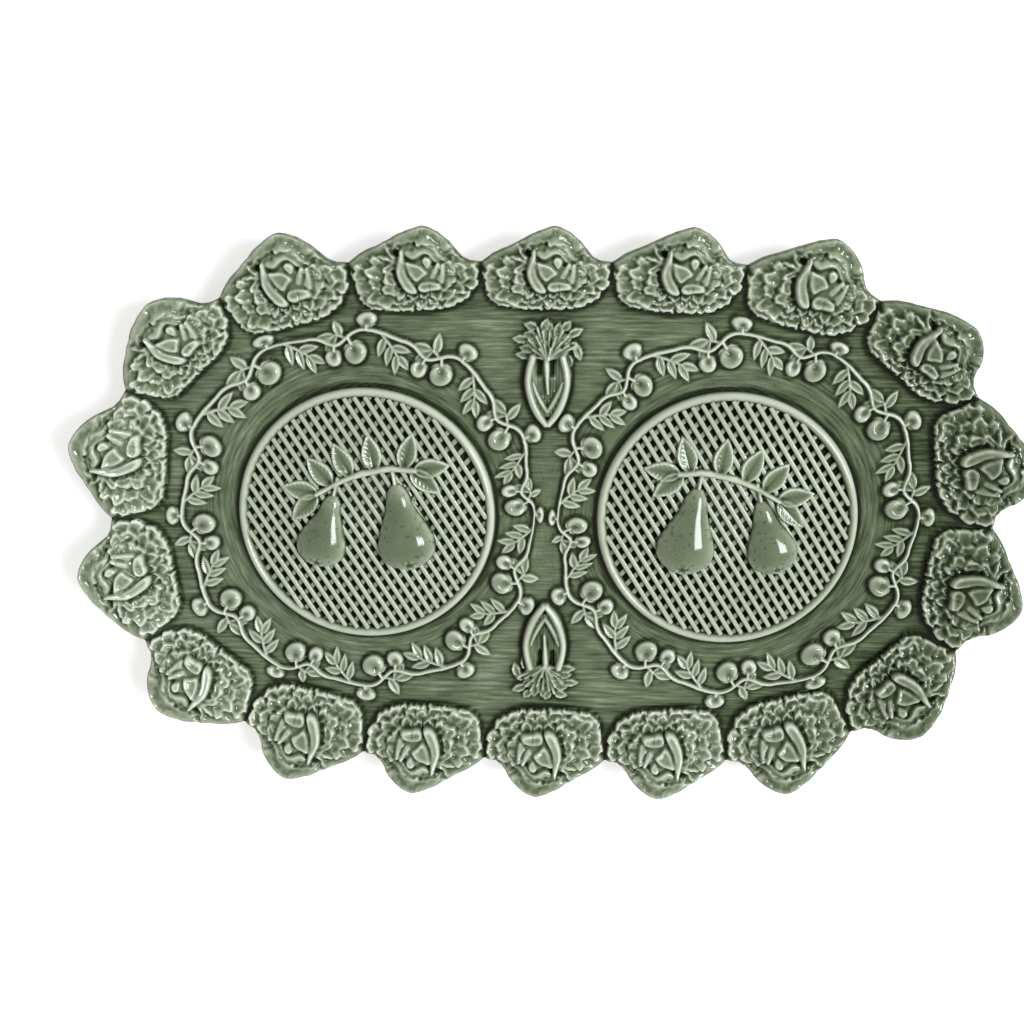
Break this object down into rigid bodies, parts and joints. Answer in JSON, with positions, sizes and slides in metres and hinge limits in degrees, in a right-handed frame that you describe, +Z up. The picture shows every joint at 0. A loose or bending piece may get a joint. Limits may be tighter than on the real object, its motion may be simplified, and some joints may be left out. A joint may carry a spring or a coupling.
{
  "type": "serving platter",
  "caption": "Oval earthenware serving platter with a rim of lettuce heads, basketwork medallions with fruit, and wreaths of fruiting vine in a green glaze.",
  "frame": {"origin": "middle of the plane that the foot ring rests on", "axes": "+X along the platter's length, +Y towards the far long side, +Z up"},
  "size_m": [0.395, 0.248, 0.0295],
  "materials": {
    "glaze_ground": "brushed green glaze, glossy",
    "glaze_lettuce": "green glaze, pale on the frilled edges and dark in the folds",
    "glaze_relief": "green glaze, thin and pale on the raised work",
    "bare_clay": "unglazed, ground flat"
  },
  "bodies": {
    "root": {"platter_body": "glaze_ground", "foot_ring": "bare_clay", "lettuce_head_01": "glaze_lettuce", "lettuce_head_02": "glaze_lettuce", "lettuce_head_03": "glaze_lettuce", "lettuce_head_04": "glaze_lettuce", "lettuce_head_05": "glaze_lettuce", "lettuce_head_06": "glaze_lettuce", "lettuce_head_07": "glaze_lettuce", "lettuce_head_08": "glaze_lettuce", "lettuce_head_09": "glaze_lettuce", "lettuce_head_10": "glaze_lettuce", "lettuce_head_11": "glaze_lettuce", "lettuce_head_12": "glaze_lettuce", "lettuce_head_13": "glaze_lettuce", "lettuce_head_14": "glaze_lettuce", "lettuce_head_15": "glaze_lettuce", "lettuce_head_16": "glaze_lettuce", "lettuce_head_17": "glaze_lettuce", "lettuce_head_18": "glaze_lettuce", "basket_ground_left": "glaze_relief", "basket_straps_left": "glaze_relief", "medallion_bead_left": "glaze_relief", "pear_large_left": "glaze_relief", "pear_small_left": "glaze_relief", "pear_twig_left": "glaze_relief", "basket_ground_right": "glaze_relief", "basket_straps_right": "glaze_relief", "medallion_bead_right": "glaze_relief", "pear_large_right": "glaze_relief", "pear_small_right": "glaze_relief", "pear_twig_right": "glaze_relief", "vine_sprig_left_01": "glaze_relief", "vine_sprig_left_02": "glaze_relief", "vine_sprig_left_03": "glaze_relief", "vine_sprig_left_04": "glaze_relief", "vine_sprig_left_05": "glaze_relief", "vine_sprig_left_06": "glaze_relief", "vine_sprig_left_07": "glaze_relief", "vine_sprig_left_08": "glaze_relief", "vine_sprig_left_09": "glaze_relief", "vine_sprig_left_10": "glaze_relief", "vine_sprig_left_11": "glaze_relief", "vine_sprig_left_12": "glaze_relief", "vine_sprig_right_01": "glaze_relief", "vine_sprig_right_02": "glaze_relief", "vine_sprig_right_03": "glaze_relief", "vine_sprig_right_04": "glaze_relief", "vine_sprig_right_05": "glaze_relief", "vine_sprig_right_06": "glaze_relief", "vine_sprig_right_07": "glaze_relief", "vine_sprig_right_08": "glaze_relief", "vine_sprig_right_09": "glaze_relief", "vine_sprig_right_10": "glaze_relief", "vine_sprig_right_11": "glaze_relief", "vine_sprig_right_12": "glaze_relief", "celery_far": "glaze_relief", "celery_near": "glaze_relief"}
  },
  "joints": []
}
